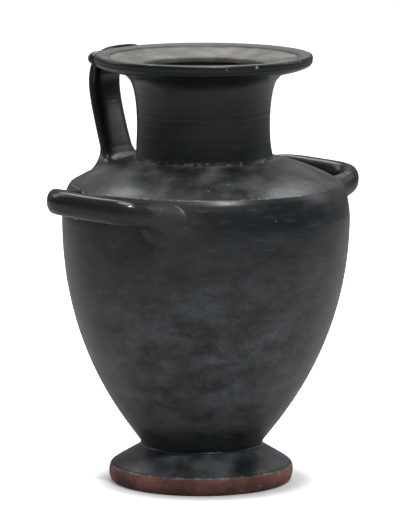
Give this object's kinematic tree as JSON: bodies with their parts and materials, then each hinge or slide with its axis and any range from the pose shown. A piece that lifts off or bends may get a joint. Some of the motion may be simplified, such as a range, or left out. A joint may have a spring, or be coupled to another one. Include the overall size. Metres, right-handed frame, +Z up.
{
  "type": "hydria",
  "caption": "Black-gloss water jar on a ring foot: ovoid body, flat shoulder, tall neck, overhanging lip, side handles to lift by and a back strap handle to pour by.",
  "frame": {"origin": "on the surface the jar stands on, under the axis of the belly", "axes": "+Z up through the mouth; +Y towards the back handle; +X and -X towards the side handles"},
  "size_m": [0.2772, 0.2136, 0.3204],
  "materials": {
    "black_gloss": "black slip with a soft gloss, worn and dusty in places",
    "brown_black_gloss": "black slip fired brownish where the clay was handled, with sharp highlights",
    "foot_clay": "bare red-brown clay on the edge band, black slip above it"
  },
  "bodies": {
    "root": {"foot": "foot_clay", "foot_join_ring": "black_gloss", "body": "black_gloss", "neck": "black_gloss", "mouth": "black_gloss", "left_handle": "brown_black_gloss", "left_handle_front_root": "brown_black_gloss", "left_handle_rear_root": "brown_black_gloss", "right_handle": "brown_black_gloss", "right_handle_front_root": "brown_black_gloss", "right_handle_rear_root": "brown_black_gloss", "back_handle": "brown_black_gloss", "back_handle_root": "brown_black_gloss", "back_handle_left_knob": "brown_black_gloss", "back_handle_right_knob": "brown_black_gloss"}
  },
  "joints": []
}
